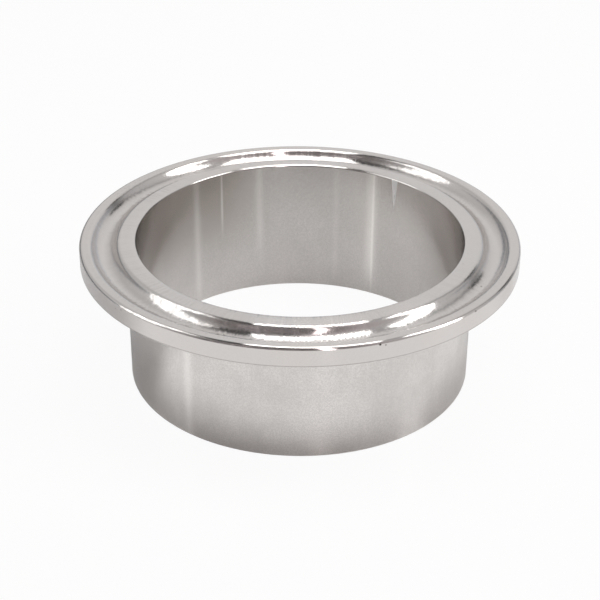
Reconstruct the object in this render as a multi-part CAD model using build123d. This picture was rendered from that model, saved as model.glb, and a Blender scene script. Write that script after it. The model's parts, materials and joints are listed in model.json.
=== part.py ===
from build123d import *

import os
from math import radians, tan

# Sanitary clamp ferrule: one turned ring, a short tube stub under a clamp flange.
# Millimetres, +Z up along the bore. The origin is the centre of the square-cut weld end,
# and the sealing face is the highest plane.

# Overall sizes
overall_height = 21.5
flange_diameter = 64.0
tube_outer_diameter = 50.8
tube_wall = 1.5

# Clamp flange: a short upright rim, then a back face that tapers down to the tube
rim_thickness = 2.85
back_taper_degrees = 20.0

# Gasket groove in the sealing face: a round-bottomed channel
groove_mean_diameter = 56.8
groove_depth = 1.4
groove_width = 3.6

# Edges, as radii
rim_top_round = 0.5
rim_bottom_round = 0.15
bore_mouth_round = 0.15
groove_edge_round = 0.8
root_fillet = 1.0
weld_end_round = 0.1

# Places that follow from the sizes above
bore_radius = tube_outer_diameter / 2 - tube_wall
tube_radius = tube_outer_diameter / 2
flange_radius = flange_diameter / 2
groove_mean_radius = groove_mean_diameter / 2
rim_underside = overall_height - rim_thickness
taper_foot = rim_underside - (flange_radius - tube_radius) * tan(radians(back_taper_degrees))


def corner(section, radius, height):
    """The corner of a half section at one radius and height."""
    return section.vertices().sort_by_distance((radius, height))[0]


def body_section():
    """Half section of the stub and its flange, with every edge rounded."""
    outline = Polyline(
        (bore_radius, 0),
        (tube_radius, 0),
        (tube_radius, taper_foot),
        (flange_radius, rim_underside),
        (flange_radius, overall_height),
        (bore_radius, overall_height),
        close=True,
    )
    section = make_face(outline)
    rounds = (
        (bore_radius, 0, weld_end_round),
        (tube_radius, 0, weld_end_round),
        (tube_radius, taper_foot, root_fillet),
        (flange_radius, rim_underside, rim_bottom_round),
        (flange_radius, overall_height, rim_top_round),
        (bore_radius, overall_height, bore_mouth_round),
    )
    for radius, height, size in rounds:
        section = fillet(corner(section, radius, height), size)
    return section


def groove_channel():
    """Half section of the gasket groove: a round bottom whose chord is its width."""
    half_width = groove_width / 2
    channel_radius = (half_width**2 + groove_depth**2) / (2 * groove_depth)
    centre_height = overall_height - groove_depth + channel_radius
    return Pos(groove_mean_radius, centre_height) * Circle(channel_radius)


def ferrule_section():
    """The whole half section: the body, with the groove let into its sealing face."""
    section = body_section() - groove_channel()
    for side in (-1, 1):
        lip = corner(section, groove_mean_radius + side * groove_width / 2, overall_height)
        section = fillet(lip, groove_edge_round)
    return section


def make_ferrule():
    """The section turned once about the bore."""
    return revolve(Plane.XZ * ferrule_section(), Axis.Z)


os.makedirs("parts", exist_ok=True)
ferrule = make_ferrule()
export_step(ferrule, "parts/ferrule.step")
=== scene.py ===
import json
import math

import bmesh
import bpy
from mathutils import Matrix, Vector


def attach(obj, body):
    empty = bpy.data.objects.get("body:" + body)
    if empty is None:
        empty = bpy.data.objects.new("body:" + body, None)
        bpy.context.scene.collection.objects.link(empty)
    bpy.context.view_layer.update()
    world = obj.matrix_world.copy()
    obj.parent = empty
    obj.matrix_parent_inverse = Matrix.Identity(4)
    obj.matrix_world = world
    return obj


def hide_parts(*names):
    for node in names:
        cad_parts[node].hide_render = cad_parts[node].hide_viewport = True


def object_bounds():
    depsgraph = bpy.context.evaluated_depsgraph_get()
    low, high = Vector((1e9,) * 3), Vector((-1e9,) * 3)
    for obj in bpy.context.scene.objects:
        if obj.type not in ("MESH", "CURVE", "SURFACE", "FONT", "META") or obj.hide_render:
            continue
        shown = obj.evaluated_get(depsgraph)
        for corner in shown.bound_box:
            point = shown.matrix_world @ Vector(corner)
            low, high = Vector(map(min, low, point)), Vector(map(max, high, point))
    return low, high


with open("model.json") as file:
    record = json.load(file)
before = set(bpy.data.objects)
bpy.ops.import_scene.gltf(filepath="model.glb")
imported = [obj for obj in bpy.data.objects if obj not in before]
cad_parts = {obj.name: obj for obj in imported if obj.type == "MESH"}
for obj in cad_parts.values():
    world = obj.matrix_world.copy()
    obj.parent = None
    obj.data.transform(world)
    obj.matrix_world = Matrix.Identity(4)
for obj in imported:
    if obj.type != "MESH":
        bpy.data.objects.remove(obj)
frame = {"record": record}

cadLow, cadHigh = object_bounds()
print("frame loaded")

mm = 0.001
noiseMiddle = 0.5  # what a noise pattern averages
scene = bpy.context.scene


def mountRadius(name):
    mount = next(m for m in frame["record"]["mounts"] if m["name"] == name)
    return mount["dims"]["r_mm"] * mm


def towards(around, up):
    # a unit direction, in degrees: around from the back towards +X, and up
    a, e = math.radians(around), math.radians(up)
    return Vector((math.sin(a) * math.cos(e), math.cos(a) * math.cos(e), math.sin(e)))


class Wire:
    # one socket of a material, so that maths on it is written as plain expressions
    def __init__(self, board, socket):
        self.board, self.socket = board, socket

    def math(self, operation, *others):
        return self.board.node("ShaderNodeMath", {"operation": operation}, [self, *others])

    def __add__(self, other):
        return self.math("ADD", other)

    def __mul__(self, other):
        return self.math("MULTIPLY", other)

    def __sub__(self, other):
        return self.math("SUBTRACT", other)

    def __rsub__(self, other):
        return self.board.node("ShaderNodeMath", {"operation": "SUBTRACT"}, [other, self])

    def __truediv__(self, other):
        return self.math("DIVIDE", other)

    __radd__ = __add__
    __rmul__ = __mul__


class Board:
    # a node tree to build on: node() adds any node and hands back one of its outputs
    def __init__(self, tree):
        self.tree = tree
        tree.nodes.clear()

    def node(self, kind, settings=None, sockets=None, output=0):
        made = self.tree.nodes.new(kind)
        for name, value in (settings or {}).items():
            if name == "stops":
                self.setStops(made.color_ramp, value)
            else:
                setattr(made, name, value)
        pairs = enumerate(sockets) if isinstance(sockets, list) else (sockets or {}).items()
        for name, value in pairs:
            self.plug(made.inputs[name], value)
        return Wire(self, made.outputs[output]) if len(made.outputs) else made

    def plug(self, socket, value):
        if isinstance(value, Wire):
            self.tree.links.new(value.socket, socket)
        else:
            socket.default_value = value

    def setStops(self, ramp, stops):
        # each stop is its place and how bright a grey it is
        while len(ramp.elements) > 1:
            ramp.elements.remove(ramp.elements[-1])
        for number, (place, value) in enumerate(stops):
            element = ramp.elements[0] if number == 0 else ramp.elements.new(place)
            element.position = place
            element.color = (value, value, value, 1)

    def noise(self, vector, scale, detail, roughness):
        return self.node("ShaderNodeTexNoise", {"noise_dimensions": "3D"}, {
            "Vector": vector, "Scale": scale, "Detail": detail, "Roughness": roughness})

    def join(self, x, y, z):
        return self.node("ShaderNodeCombineXYZ", None, [x, y, z])

    def split(self, vector):
        parts = self.node("ShaderNodeSeparateXYZ", None, [vector]).socket.node.outputs
        return [Wire(self, part) for part in parts]

    def ramp(self, value, start, end, low=0.0, high=1.0):
        # eases from low at start to high at end
        return self.node("ShaderNodeMapRange", {"interpolation_type": "SMOOTHSTEP"}, {
            "Value": value, "From Min": start, "From Max": end, "To Min": low, "To Max": high})

    def blend(self, factor, first, second):
        # mixes two colours, by the numbers of their sockets, because other kinds have the same names
        return self.node("ShaderNodeMix", {"data_type": "RGBA"}, {0: factor, 6: first, 7: second}, output=2)

    def blendShaders(self, factor, first, second):
        return self.node("ShaderNodeMixShader", None, [factor, first, second])

    def vectorMath(self, operation, sockets, output="Vector"):
        return self.node("ShaderNodeVectorMath", {"operation": operation}, sockets, output)


class Places:
    # where each point of a turned part is, in millimetres
    def __init__(self, board):
        inMetres = board.split(board.node("ShaderNodeTexCoord", output="Object"))
        self.x, self.y, self.height = (axis * (1 / mm) for axis in inMetres)
        self.radius = (self.x * self.x + self.y * self.y).math("SQRT")
        # a unit direction from the axis: aroundX is 1 at the right, aroundY is 1 at the back
        self.aroundX, self.aroundY = self.x / self.radius, self.y / self.radius
        self.place = board.join(self.x, self.y, self.height)

    def bearing(self):
        # degrees from the back towards +X
        return self.x.math("ARCTAN2", self.y) * (180 / math.pi)


def newMaterial(name):
    material = bpy.data.materials.new(name)
    material.use_nodes = True
    return material, Board(material.node_tree)


ferruleSizes = {
    "rimThickness": 2.85 * mm,
    "backTaper": 20,  # degrees, from the plane of the flange
    "grooveMeanRadius": 28.4 * mm,
    "grooveDepth": 1.4 * mm,
    "grooveWidth": 3.6 * mm,  # across the face, before its edges are rounded
    "grooveEdgeRound": 0.8 * mm,
    "rimTopRound": 0.5 * mm,
    "rimBottomRound": 0.15 * mm,
    "boreMouthRound": 0.15 * mm,
    "rootFillet": 1.0 * mm,
    "weldEndRound": 0.1 * mm,
    "stepsRound": 480,
    "degreesPerArcStep": 4.0,
    "fewestArcSteps": 3,
    "holdingGap": 0.04 * mm,  # a flat ends this close to a round, so it shades flat
    "mergeGap": 0.0001 * mm,
    # a face takes its finish by its place: this near the weld end, the bore or the tube's outside
    "endReach": 0.12 * mm,
    "boreReach": 0.02 * mm,
    "tubeReach": 0.9 * mm,
    "tubeBelow": 4.5 * mm,  # the tube's finish starts this far below the sealing face,
    "faceDepth": 2.8 * mm,  # and the polish ends this far below it
}


class SectionPen:
    # draws the half section in the XZ plane, one straight or round at a time
    def __init__(self, radius, height):
        self.bm = bmesh.new()
        self.tip = self.bm.verts.new((radius, 0, height))

    def dotTo(self, radius, height):
        dot = self.bm.verts.new((radius, 0, height))
        self.bm.edges.new((self.tip, dot))
        self.tip = dot

    def lineTo(self, radius, height):
        start, end = self.tip.co.copy(), Vector((radius, 0, height))
        inset = (end - start).normalized() * ferruleSizes["holdingGap"]
        for spot in (start + inset, end - inset, end):
            self.dotTo(spot.x, spot.z)

    def turn(self, radius, height, degrees):
        # positive degrees turn from up towards outwards, round a centre at that radius and height
        steps = max(ferruleSizes["fewestArcSteps"], round(abs(degrees) / ferruleSizes["degreesPerArcStep"]))
        swept = bmesh.ops.spin(self.bm, geom=[self.tip], cent=(radius, 0, height), axis=(0, 1, 0),
                               angle=math.radians(degrees), steps=steps)
        self.tip = next(item for item in swept["geom_last"] if isinstance(item, bmesh.types.BMVert))


def drawGroove(pen, top):
    # a round channel met by a smaller round at each edge
    s = ferruleSizes
    half, depth, edge = s["grooveWidth"] / 2, s["grooveDepth"], s["grooveEdgeRound"]
    channel = (half**2 + depth**2) / (2 * depth)
    centreHeight = top - depth + channel
    rise = centreHeight - (top - edge)
    reach = math.sqrt((channel + edge)**2 - rise**2)
    swing = 90 - math.degrees(math.atan2(rise, reach))
    middle = s["grooveMeanRadius"]
    pen.lineTo(middle - reach, top)
    pen.turn(middle - reach, top - edge, swing)
    pen.turn(middle, centreHeight, -2 * swing)
    pen.turn(middle + reach, top - edge, swing)


def drawSection():
    s = ferruleSizes
    bore, tube, flange = mountRadius("bore"), mountRadius("weld_stub"), mountRadius("clamp_rim")
    top = cadHigh.z
    taper = math.radians(s["backTaper"])
    opening = math.tan((math.pi / 2 - taper) / 2)  # from a corner to where its round starts, per radius
    underside = top - s["rimThickness"]
    root = underside - (flange - tube) * math.tan(taper)

    end, mouth = s["weldEndRound"], s["boreMouthRound"]
    pen = SectionPen(bore, end)
    pen.lineTo(bore, top - mouth)
    pen.turn(bore + mouth, top - mouth, 90)
    drawGroove(pen, top)

    # the rim, whose lower corner is opened by the taper, so its round is short of square
    upper, lower = s["rimTopRound"], s["rimBottomRound"]
    pen.lineTo(flange - upper, top)
    pen.turn(flange - upper, top - upper, 90)
    pen.lineTo(flange, underside + lower * opening)
    pen.turn(flange - lower, underside + lower * opening, 90 - s["backTaper"])

    # the tapered back, in to the fillet at the tube
    fillet = s["rootFillet"]
    tangent = fillet * opening
    pen.lineTo(tube + tangent * math.cos(taper), root + tangent * math.sin(taper))
    pen.turn(tube + fillet, root - tangent, -(90 - s["backTaper"]))

    # the tube and its square-cut weld end
    pen.lineTo(tube, end)
    pen.turn(tube - end, end, 90)
    pen.lineTo(bore + end, 0)
    pen.turn(bore + end, end, 90)
    return pen.bm


def nameFinish(face):
    # which finish a face has, by its place
    s = ferruleSizes
    middle = face.calc_center_median()
    radius, height = math.hypot(middle.x, middle.y), middle.z
    if height < s["endReach"]:
        return "end"
    if radius < mountRadius("bore") + s["boreReach"]:
        return "bore"
    if radius < mountRadius("weld_stub") + s["tubeReach"] and height < cadHigh.z - s["tubeBelow"]:
        return "tube"
    return "face" if height > cadHigh.z - s["faceDepth"] else "back"


def makeFerrule(finishes):
    s = ferruleSizes
    bm = drawSection()
    bmesh.ops.remove_doubles(bm, verts=bm.verts[:], dist=s["mergeGap"])
    bmesh.ops.spin(bm, geom=bm.verts[:] + bm.edges[:], cent=(0, 0, 0), axis=(0, 0, 1), angle=2 * math.pi,
                   steps=s["stepsRound"], use_merge=True)
    bmesh.ops.remove_doubles(bm, verts=bm.verts[:], dist=s["mergeGap"])
    bmesh.ops.recalc_face_normals(bm, faces=bm.faces[:])
    order = list(finishes)
    for face in bm.faces:
        face.smooth = True
        face.material_index = order.index(nameFinish(face))
    mesh = bpy.data.meshes.new("turnedFerrule")
    bm.to_mesh(mesh)
    bm.free()
    piece = bpy.data.objects.new("turnedFerrule", mesh)
    scene.collection.objects.link(piece)
    for finish in order:
        mesh.materials.append(finishes[finish])
    print("ferrule turned:", len(mesh.polygons), "faces")
    return piece


# In the looks below, a noise is its scale, detail and roughness, and a pair is where an effect starts and
# where it is full. On the ferrule, lengths are in millimetres and angles in degrees.

polishLook = {
    "colour": (0.640, 0.615, 0.600, 1),
    "warmColour": (0.655, 0.615, 0.592, 1),
    "smudgeNoise": (0.11, 3.0, 0.55),
    "smudgeLevels": (0.35, 0.70),
    "roughness": 0.13,
    "anisotropy": 1.0,  # how much less rough it is along the turning lines than across them
    "lineNoise": (9.0, 4.0, 0.6),
    "lineHeight": 0.0001,
    "grainNoise": (5.5, 2.0, 0.5),
    "grainHeight": 0.0001,
    "chatterNoise": (105, 1.0, 0.5),  # fine ripples round the ring, where the tool chattered
    "chatterLevels": (0.38, 0.62),
    "chatterRoughness": 0.06,
    "chatterLean": 0.45,  # how far the surface leans in and out
    "chatterEnds": (1.2, 0.6),  # it dies out this far in from the flange's edge
    "mouthRoll": 0.06,  # how fast the inner land rolls off near the bore, at the front and sides
    "mouthRollBehind": 0.30,
    "mouthRollWidth": 1.2,
    "behindLevels": (0.80, 0.94),
    "speckNoise": (7.0, 1.0, 0.5),
    "speckLevels": (0.62, 0.40),
    "speckle": 0.10,
    "speckColour": (0.45, 0.43, 0.41, 1),
    # the dark of the pits, which also colours the painted shade line round the rim
    "pitAndEdgeShadeColour": (0.10, 0.09, 0.08, 1),
    "pitCore": 0.5,  # how much of a pit's size is fully dark
    # painted shade: a fine dark line round the rim, near its lower edge
    "edgeShadeStrength": 0.35,
    "edgeShadeUp": (0.22, 0.10),
    "edgeShadeIn": (0.3, 0.1),
}

# tiny dark pits: bearing, radius, height and size
pits = [
    (-129.4, 32.0, 20.4, 0.10),
    (-131.8, 32.0, 20.8, 0.12),
    (117.0, 28.3, 20.1, 0.14),
    (132.6, 32.0, 21.2, 0.16),
    (99.0, 29.2, 20.3, 0.10),
    (161.0, 32.0, 21.1, 0.20),
    (159.6, 32.0, 20.9, 0.12),
    (111.0, 24.6, 21.5, 0.08),
]


def reliefNormal(board, relief):
    return board.node("ShaderNodeBump", None, {"Strength": 1.0, "Distance": mm, "Height": relief})


def speckled(board, at, colour, look):
    specks = board.ramp(board.noise(at.place, *look["speckNoise"]), *look["speckLevels"])
    return board.blend(specks * look["speckle"], colour, look["speckColour"])


def steelShader(board, colour, metallic, roughness, normal, anisotropy):
    # the quarter turn sets the anisotropy to lines that run round the part
    shader = board.node("ShaderNodeBsdfPrincipled", None, {
        "Base Color": colour, "Metallic": metallic, "Roughness": roughness, "Normal": normal,
        "Anisotropic": anisotropy, "Anisotropic Rotation": 0.25})
    board.node("ShaderNodeOutputMaterial", None, {"Surface": shader})


def pitMarks(board, at):
    # 1 inside a pit, 0 outside
    marks = 0.0
    for bearing, radius, height, size in pits:
        spot = towards(bearing, 0) * radius
        away = board.vectorMath("DISTANCE", [at.place, (spot.x, spot.y, height)], "Value")
        marks = board.ramp(away, size, size * polishLook["pitCore"]) + marks
    return marks


def rimEdgeShade(board, at):
    # 1 on the fine line of painted shade near the lower edge of the rim
    underside = (cadHigh.z - ferruleSizes["rimThickness"]) / mm
    flange = mountRadius("clamp_rim") / mm
    heights = [underside + up for up in polishLook["edgeShadeUp"]]
    radii = [flange - inward for inward in polishLook["edgeShadeIn"]]
    return board.ramp(at.height, *heights) * board.ramp(at.radius, *radii)


def polishedNormal(board, at, around, chatter):
    # turning lines, grain and the rolled-off mouth as relief, then the lean of the chattered surface
    look = polishLook
    lines = board.noise(board.join(at.radius, at.height, 0.0), *look["lineNoise"])
    grain = board.noise(at.place, *look["grainNoise"])
    inward = (mountRadius("bore") / mm + look["mouthRollWidth"] - at.radius).math("MAXIMUM", 0.0)
    steepness = board.ramp(at.aroundY, *look["behindLevels"], look["mouthRoll"], look["mouthRollBehind"])
    relief = lines * look["lineHeight"] + grain * look["grainHeight"] - inward * inward * steepness
    outwards = board.vectorMath("SCALE", {0: around, "Scale": chatter * look["chatterLean"]})
    leaning = board.vectorMath("ADD", [reliefNormal(board, relief), outwards])
    return board.vectorMath("NORMALIZE", [leaning])


def polishedColour(board, at):
    look = polishLook
    smudge = board.ramp(board.noise(at.place, *look["smudgeNoise"]), *look["smudgeLevels"])
    colour = board.blend(smudge, look["colour"], look["warmColour"])
    colour = speckled(board, at, colour, look)
    colour = board.blend(pitMarks(board, at), colour, look["pitAndEdgeShadeColour"])
    # painted shade: a dark line near the rim's lower edge
    return board.blend(rimEdgeShade(board, at) * look["edgeShadeStrength"], colour, look["pitAndEdgeShadeColour"])


def polishedFinish():
    look = polishLook
    material, board = newMaterial("polishedFace")
    at = Places(board)
    around = board.join(at.aroundX, at.aroundY, 0.0)
    chatter = board.noise(around, *look["chatterNoise"])
    ends = [mountRadius("clamp_rim") / mm - inward for inward in look["chatterEnds"]]
    chattered = board.ramp(at.radius, *ends, 1.0, 0.0)
    normal = polishedNormal(board, at, around, (chatter - noiseMiddle) * chattered)
    rougher = board.ramp(chatter, *look["chatterLevels"]) * chattered * look["chatterRoughness"]
    roughness = look["roughness"] + rougher
    steelShader(board, polishedColour(board, at), 1.0, roughness, normal, look["anisotropy"])
    return material


satinLook = {
    "darkColour": (0.630, 0.604, 0.586, 1),
    "cloudNoise": (0.12, 3.0, 0.55),
    "drawnNoise": (26.0, 3.0, 0.6),  # streaks drawn along the tube
    "drawnStretch": 0.004,
    "drawnShare": 0.2,  # of the mottle, whose rest is clouds
    "mottleLevels": (0.35, 0.65),
    "drawnLevels": (0.3, 0.7),
    "drawnRoughness": 0.01,
    "lineNoise": (1.0, 5.0, 0.7),  # fine turning lines
    "linesAround": 0.6,
    "linesUp": 7.0,
    "lineHeight": 0.0006,
    "grainNoise": (4.0, 2.0, 0.5),
    "grainHeight": 0.0004,
    "speckNoise": (4.5, 1.0, 0.5),
    "speckLevels": (0.62, 0.40),
    "speckle": 0.26,
    "speckColour": (0.45, 0.43, 0.41, 1),
    # painted highlights along the part: their colour, and how they fade in
    "paintedHighlightColour": (1.0, 0.98, 0.95, 1),
    "paintedHighlightFade": (-2.0, 5.0),  # up from its lowest point
}

# a painted highlight line, a pale streak in place of a reflection, is its bearing, half width, strength and
# lowest point
satinParts = {
    "bore": {"material": "satinBore", "colour": (0.672, 0.648, 0.630, 1), "roughness": 0.20,
             "anisotropy": 0.7, "stainAndPaintedLight": True,
             "paintedHighlightLines": [(-43, 1.6, 0.30, 0), (-31.5, 0.45, 0.45, 11), (-16, 1.6, 0.28, 6),
                           (14, 1.2, 0.12, 0), (28.5, 2.2, 0.45, 2), (29.2, 0.5, 0.35, 0)]},
    "tube": {"material": "satinTube", "colour": (0.716, 0.690, 0.670, 1), "roughness": 0.25,
             "anisotropy": 0.7, "stainAndPaintedLight": False, "paintedHighlightLines": [(-142.8, 1.7, 0.34, -10)]},
    "back": {"material": "turnedBack", "colour": (0.672, 0.648, 0.630, 1), "roughness": 0.25,
             "anisotropy": 0.7, "stainAndPaintedLight": False, "paintedHighlightLines": []},
    "end": {"material": "turnedEnd", "colour": (0.672, 0.648, 0.630, 1), "roughness": 0.30,
            "anisotropy": 0.6, "stainAndPaintedLight": False, "paintedHighlightLines": []},
}

# a faint brown stain in the bore, between two bearings and in clouds, partly a real tint and partly painted
# shade, and painted shade on both its sides
boreStainAndShade = {
    "colour": (0.490, 0.455, 0.425, 1),
    "right": (-8.0, -34.0),
    "left": (-115.0, -75.0),
    "heights": (5.0, 17.0),
    "clouds": (0.2, 0.5),
    "thinnest": 0.6,
    "sideShadeLevels": (0.84, 0.98),
    "sideShade": 0.7,
}

# a painted highlight below the mouth: a white glint drawn into the colour
paintedBoreGlint = {
    "bearing": 38.2,
    "halfWidth": 1.5,
    "length": 6.8,
    "softEdge": (0.0, 0.35),
    "softTip": (0.0, 0.5),
    "colour": (1.0, 1.0, 1.0, 1),
    "dull": 0.9,  # how much less metallic it is
}


def stainAndShadeMark(board, at, cloud):
    # how far each point of the bore is stained or darkened by painted shade
    stainAndShade = boreStainAndShade
    bearing = at.bearing()
    between = board.ramp(bearing, *stainAndShade["right"]) * board.ramp(bearing, *stainAndShade["left"])
    rising = board.ramp(at.height, *stainAndShade["heights"])
    clouds = board.ramp(cloud, *stainAndShade["clouds"], stainAndShade["thinnest"])
    # painted shade on both sides of the bore
    sideShade = board.ramp(at.aroundX.math("ABSOLUTE"), *stainAndShade["sideShadeLevels"], 0.0, stainAndShade["sideShade"])
    return (between * rising * clouds).math("MAXIMUM", sideShade)


def paintedGlintMark(board, at):
    # 1 inside the painted glint, which narrows to a point as it runs down
    glint = paintedBoreGlint
    up = (at.height - (cadHigh.z / mm - glint["length"])) / glint["length"]
    reach = up.math("MAXIMUM", 0.0) * glint["halfWidth"]
    off = (at.bearing() - glint["bearing"]).math("ABSOLUTE")
    return board.ramp(reach - off, *glint["softEdge"]) * board.ramp(up, *glint["softTip"])


def paintedHighlightMarks(board, at, lines):
    # how far each point lies on a painted highlight line drawn along the part
    bearing = at.bearing()
    fadeLow, fadeHigh = satinLook["paintedHighlightFade"]
    marks = 0.0
    for middle, halfWidth, strength, lowest in lines:
        off = (bearing - middle) / halfWidth
        glow = (off * off * -1).math("EXPONENT") * strength
        marks = glow * board.ramp(at.height, lowest + fadeLow, lowest + fadeHigh) + marks
    return marks


def satinNormal(board, at):
    look = satinLook
    x, y = at.aroundX * look["linesAround"], at.aroundY * look["linesAround"]
    lines = board.noise(board.join(x, y, at.height * look["linesUp"]), *look["lineNoise"])
    grain = board.noise(at.place, *look["grainNoise"])
    return reliefNormal(board, lines * look["lineHeight"] + grain * look["grainHeight"])


def satinFinish(part):
    look = satinLook
    material, board = newMaterial(part["material"])
    at = Places(board)
    stretched = board.join(at.aroundX, at.aroundY, at.height * look["drawnStretch"])
    drawn = board.noise(stretched, *look["drawnNoise"])
    cloud = board.noise(at.place, *look["cloudNoise"])
    mottle = cloud * (1 - look["drawnShare"]) + drawn * look["drawnShare"]
    colour = board.blend(board.ramp(mottle, *look["mottleLevels"]), look["darkColour"], part["colour"])
    colour = speckled(board, at, colour, look)
    metallic = 1.0
    # the bore's stain, with painted shade and a painted highlight
    if part["stainAndPaintedLight"]:
        # a painted highlight: a white glint below the mouth, less metallic
        glint = paintedGlintMark(board, at)
        metallic = 1 - glint * paintedBoreGlint["dull"]
        # the stain, partly painted shade, and painted shade on the bore's sides
        colour = board.blend(stainAndShadeMark(board, at, cloud), colour, boreStainAndShade["colour"])
        colour = board.blend(glint, colour, paintedBoreGlint["colour"])
    # painted highlights: pale streaks along the part in place of reflections
    if part["paintedHighlightLines"]:
        marks = paintedHighlightMarks(board, at, part["paintedHighlightLines"])
        colour = board.blend(marks, colour, look["paintedHighlightColour"])
    roughness = part["roughness"] + board.ramp(drawn, *look["drawnLevels"]) * look["drawnRoughness"]
    steelShader(board, colour, metallic, roughness, satinNormal(board, at), part["anisotropy"])
    return material


# Where each box hangs from the middle of the sealing face, in degrees: around from the back towards +X, and
# up. It faces there, then rolls, and turns about its height, unless it is tipped. Sizes are in metres.
softBoxes = {
    "rightBox": {"around": 101.5, "up": 36, "away": 0.61, "turn": -60, "roll": 13.5,
                 "width": 0.316, "height": 0.60, "radiance": 3.8},
    "leftBox": {"around": -94, "up": 37, "away": 0.55, "turn": 38, "roll": -11,
                "width": 0.28, "height": 0.58, "radiance": 2.1, "wisps": True},
    "topBox": {"around": 33.5, "up": 80.5, "away": 0.326, "tipped": (42.17, -14.152),  # about X, then Y
               "width": 0.183, "height": 0.274, "radiance": 3.0},
}

# the uneven light of a box with wisps
boxWisps = {
    "noise": (9.0, 3.0, 0.6),
    "levels": (0.44, 0.60),
    "brightest": 1.3,
}


def boxAxes(box):
    # the width and height directions of a soft box
    if "tipped" in box:
        aboutX, aboutY = (math.radians(angle) for angle in box["tipped"])
        tipped = Matrix.Rotation(aboutX, 3, "X") @ Matrix.Rotation(aboutY, 3, "Y")
        return tipped.col[0].copy(), tipped.col[1].copy()
    wide = towards(box["around"] + 90, 0)
    tall = wide.cross(towards(box["around"], box["up"]))
    if tall.z < 0:
        tall = -tall
    roll, turn = math.radians(box["roll"]), math.radians(box["turn"])
    rolled = wide * math.cos(roll) + tall * math.sin(roll)
    tall = tall * math.cos(roll) - wide * math.sin(roll)
    return rolled * math.cos(turn) + rolled.cross(tall) * math.sin(turn), tall


def addWisps(light):
    light.use_nodes = True
    board = Board(light.node_tree)
    overTheBox = board.node("ShaderNodeNewGeometry", output="Parametric")
    wisps = board.noise(overTheBox, *boxWisps["noise"])
    strength = board.ramp(wisps, *boxWisps["levels"], 0.0, boxWisps["brightest"])
    glow = board.node("ShaderNodeEmission", None, {"Strength": strength})
    board.node("ShaderNodeOutputLight", None, [glow])


def hangSoftBoxes():
    target = Vector((0, 0, cadHigh.z))
    for name, box in softBoxes.items():
        light = bpy.data.lights.new(name, "AREA")
        light.shape = "RECTANGLE"
        light.size, light.size_y = box["width"], box["height"]
        # an area lamp's power is four times its area by its radiance
        light.energy = 4 * box["radiance"] * box["width"] * box["height"]
        if box.get("wisps"):
            addWisps(light)
        away = towards(box["around"], box["up"]) * box["away"]
        wide, tall = boxAxes(box)
        face = wide.cross(tall)
        if face.dot(away) < 0:
            wide, face = -wide, -face
        holder = bpy.data.objects.new(name, light)
        turned = Matrix((wide, tall, face)).transposed().to_4x4()
        holder.matrix_world = Matrix.Translation(target + away) @ turned
        scene.collection.objects.link(holder)
    print("soft boxes hung")


# The room that the metal mirrors. Pairs for behind, side and up are read off a unit direction: behind is 1
# straight behind the ferrule and -1 at the camera, side is 1 at the right, and up is 1 overhead.
roomLook = {
    # how bright it is at each bearing from the ferrule: 0 and 1 at the camera, 0.5 straight behind
    "tones": [(0.00, 0.26), (0.05, 0.20), (0.10, 0.26), (0.125, 0.14), (0.155, 0.36), (0.20, 0.58),
              (0.27, 0.74), (0.33, 0.66), (0.375, 0.60), (0.42, 0.70), (0.50, 0.87), (0.59, 0.78),
              (0.63, 0.60), (0.655, 0.24), (0.68, 0.60), (0.75, 0.70), (0.81, 0.60), (0.89, 0.48),
              (0.93, 0.28), (0.951, 0.34), (0.955, 5.00), (0.966, 5.00), (0.971, 0.20)],
    # it is patchy, more so at the camera and at the left
    "patchNoise": (9.0, 4.0, 0.65),
    "patchBehind": (-0.2, -0.6),
    "patchesBehind": 0.15,
    "busySide": (0.0, -0.5),
    "busy": 2.2,
    # small bright things stand in the dark at the camera's left
    "sparks": 1.2,
    "sparkNoise": (20.0, 2.0, 0.6),
    "sparkLevels": (0.58, 0.68),
    "sparkSide": (-0.15, -0.35),
    "sparkBehind": (-0.45, -0.7),
    "sparkUp": (0.1, 0.3),
    # behind the ferrule it is darker near the floor
    "lowUp": (0.12, 0.32),
    "lowBehind": (0.0, 0.3),
    "lowSide": (-0.2, 0.2),
    "lowLeft": 0.32,
    "lowRight": 0.75,
    # one dark thing stands beside the right box
    "darkThing": (46, 27),  # around and up, in degrees
    "darkThingEdge": (0.9915, 0.9955),  # cosines of the angle from its middle
    "darkThingTone": 0.05,
    # overhead, between the soft boxes
    "overUp": (0.79, 0.95),
    "overBehind": (0.78, 0.92),
    "overFarBehind": 0.1,
    "overSide": (-0.1, 0.1),
    "overLeft": 0.06,
    "overRight": 0.45,
    "offFloor": 0.8,  # how much of the room's light the floor is shaded from
    "plainColour": (1, 1, 1, 1),
    "nearTint": (1.0, 0.90, 0.92, 1),  # at the camera's side
    "nearBehind": (-1.0, -0.2),
    "lowTint": (0.94, 0.98, 1.05, 1),
    "smallest": 0.0001,  # keeps straight up and down from a division by nought
}


def roomAround(board, direction, behind, side):
    # the room's brightness by bearing, with its patches and its small bright things
    look = roomLook
    x, y, z = board.split(direction)
    bearing = x.math("ARCTAN2", y) * (0.5 / math.pi) + 0.5
    room = board.node("ShaderNodeValToRGB", {"stops": look["tones"]}, [bearing])
    patches = board.noise(direction, *look["patchNoise"]) - noiseMiddle
    uneven = board.ramp(behind, *look["patchBehind"], look["patchesBehind"], 1.0)
    busier = board.ramp(side, *look["busySide"], 1.0, look["busy"])
    sparks = board.ramp(board.noise(direction, *look["sparkNoise"]), *look["sparkLevels"]) * look["sparks"]
    corner = board.ramp(side, *look["sparkSide"]) * board.ramp(behind, *look["sparkBehind"])
    return room * (1 + patches * uneven * busier) + sparks * (corner * board.ramp(z, *look["sparkUp"]))


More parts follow.
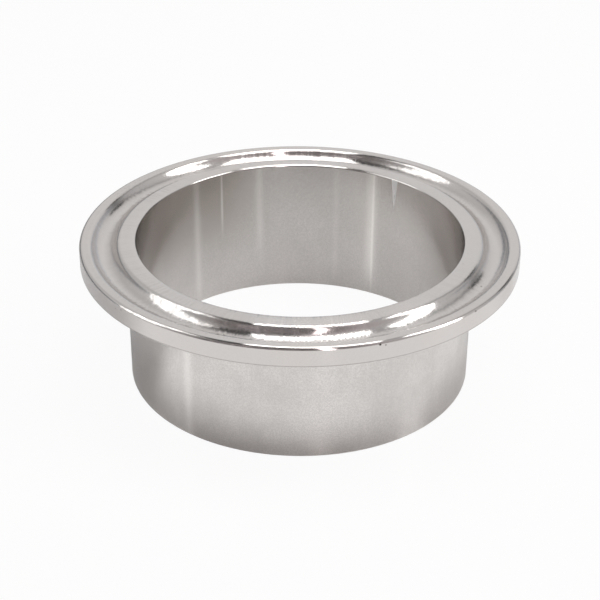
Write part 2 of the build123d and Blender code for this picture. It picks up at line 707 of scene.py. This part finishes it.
def lightWorld():
    look = roomLook
    world = bpy.data.worlds.new("studio")
    world.use_nodes = True
    scene.world = world
    board = Board(world.node_tree)
    direction = board.node("ShaderNodeTexCoord", output="Generated")
    x, y, z = board.split(direction)
    level = (x * x + y * y).math("SQRT") + look["smallest"]
    behind, side = y / level, x / level
    room = roomAround(board, direction, behind, side)

    lowest = board.ramp(side, *look["lowSide"], look["lowLeft"], look["lowRight"])
    low = board.ramp(z, *look["lowUp"], 1.0, 0.0) * board.ramp(behind, *look["lowBehind"])
    room = room * (1 - (1 - lowest) * low)
    thing = towards(*look["darkThing"])
    near = x * thing.x + y * thing.y + z * thing.z
    room = room * board.ramp(near, *look["darkThingEdge"], 1.0, look["darkThingTone"])
    notFarBehind = board.ramp(behind, *look["overBehind"], 1.0, look["overFarBehind"])
    high = board.ramp(z, *look["overUp"]) * notFarBehind
    above = board.ramp(side, *look["overSide"], look["overLeft"], look["overRight"])
    floorLight = board.node("ShaderNodeLightPath", output="Is Diffuse Ray")
    tone = (room + (above - room) * high) * (1 - floorLight * look["offFloor"])

    tint = board.blend(board.ramp(behind, *look["nearBehind"]), look["nearTint"], look["plainColour"])
    tint = board.blend(low, tint, look["lowTint"])
    studio = board.node("ShaderNodeBackground", None, {"Color": tint, "Strength": tone})
    plain = board.node("ShaderNodeBackground", None, {"Color": look["plainColour"], "Strength": 1.0})
    seen = board.node("ShaderNodeLightPath", output="Is Camera Ray")
    board.node("ShaderNodeOutputWorld", None, {"Surface": board.blendShaders(seen, studio, plain)})
    print("room lit")


floorLook = {
    "colour": (0.88, 0.88, 0.88, 1),
    "roughness": 0.25,
    "radius": 3.0,
    "segments": 96,
    "gap": 0.02 * mm,  # between the floor and the foot, so the two faces don't fight
    "plainColour": (1, 1, 1, 1),
    "shown": 0.94,  # how far the camera sees the floor as plain white
    # and how far the metal does, as painted light that changes by place: through the bore, in front, behind
    # on the right, and everywhere at least
    "mirroredInside": 0.22,
    "mirroredFront": 0.90,
    "mirroredRight": 0.40,
    "mirroredLeast": 0.05,
    "behindLevels": (-0.1, 0.3),
    "insideRadii": (26, 24),  # mm
    "outsideRadii": (26, 37),
    "shadeAround": -45,  # degrees: the floor is shaded on this side
    "shadeLevels": (0.25, 0.50),
}


def whiteShare(board, seen):
    # how far the floor is plain white to what looks at it; to the metal this is painted light that changes
    # by place, least near the foot and on the shaded side, most in front
    look = floorLook
    at = Places(board)
    shade = towards(look["shadeAround"], 0)
    shaded = board.ramp(at.aroundX * shade.x + at.aroundY * shade.y, *look["shadeLevels"])
    outside = board.ramp(at.aroundY, *look["behindLevels"], look["mirroredFront"], look["mirroredRight"])
    outside = outside * (1 - shaded) * board.ramp(at.radius, *look["outsideRadii"])
    inside = board.ramp(at.radius, *look["insideRadii"]) * look["mirroredInside"]
    mirrored = board.node("ShaderNodeLightPath", output="Is Glossy Ray")
    # the metal sees painted light on the floor, by place
    return seen * look["shown"] + mirrored * (outside + inside + look["mirroredLeast"])


def floorFinish():
    look = floorLook
    material, board = newMaterial("paleFloor")
    seen = board.node("ShaderNodeLightPath", output="Is Camera Ray")
    paper = board.node("ShaderNodeBsdfPrincipled", None, {
        "Base Color": look["colour"], "Roughness": look["roughness"]})
    plain = board.node("ShaderNodeEmission", None, {"Color": look["plainColour"], "Strength": 1.0})
    surface = board.blendShaders(whiteShare(board, seen), paper, plain)
    # seen from below, the floor is clear
    below = board.node("ShaderNodeNewGeometry", output="Backfacing") * seen
    surface = board.blendShaders(below, surface, board.node("ShaderNodeBsdfTransparent"))
    board.node("ShaderNodeOutputMaterial", None, {"Surface": surface})
    return material


def layFloor():
    look = floorLook
    bm = bmesh.new()
    bmesh.ops.create_circle(bm, cap_ends=True, segments=look["segments"], radius=look["radius"])
    bmesh.ops.translate(bm, verts=bm.verts[:], vec=(0, 0, -look["gap"]))
    mesh = bpy.data.meshes.new("floor")
    bm.to_mesh(mesh)
    bm.free()
    mesh.materials.append(floorFinish())
    floor = bpy.data.objects.new("floor", mesh)
    scene.collection.objects.link(floor)
    print("floor laid")


cameraView = {
    "place": Vector((0.0000653, -0.1935, 0.1204)),
    "lookDown": 29.617,  # degrees below level
    "tilt": 0.432,
    "lens": 89.3,
    "sensor": 36,
    "nearest": 0.01,
    "furthest": 20,
}


def setCamera():
    view = cameraView
    lens = bpy.data.cameras.new("camera")
    lens.lens, lens.sensor_width = view["lens"], view["sensor"]
    lens.clip_start, lens.clip_end = view["nearest"], view["furthest"]
    camera = bpy.data.objects.new("camera", lens)
    camera.matrix_world = (Matrix.Translation(view["place"])
                           @ Matrix.Rotation(math.radians(90 - view["lookDown"]), 4, "X")
                           @ Matrix.Rotation(math.radians(view["tilt"]), 4, "Z"))
    scene.collection.objects.link(camera)
    scene.camera = camera
    scene.view_settings.view_transform = "Standard"
    print("camera set")


setCamera()
hangSoftBoxes()
lightWorld()
layFloor()

finishes = {"face": polishedFinish()}
for name, part in satinParts.items():
    finishes[name] = satinFinish(part)
print("finishes made:", len(finishes))

ferrule = makeFerrule(finishes)
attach(ferrule, "root")
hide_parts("ferrule")
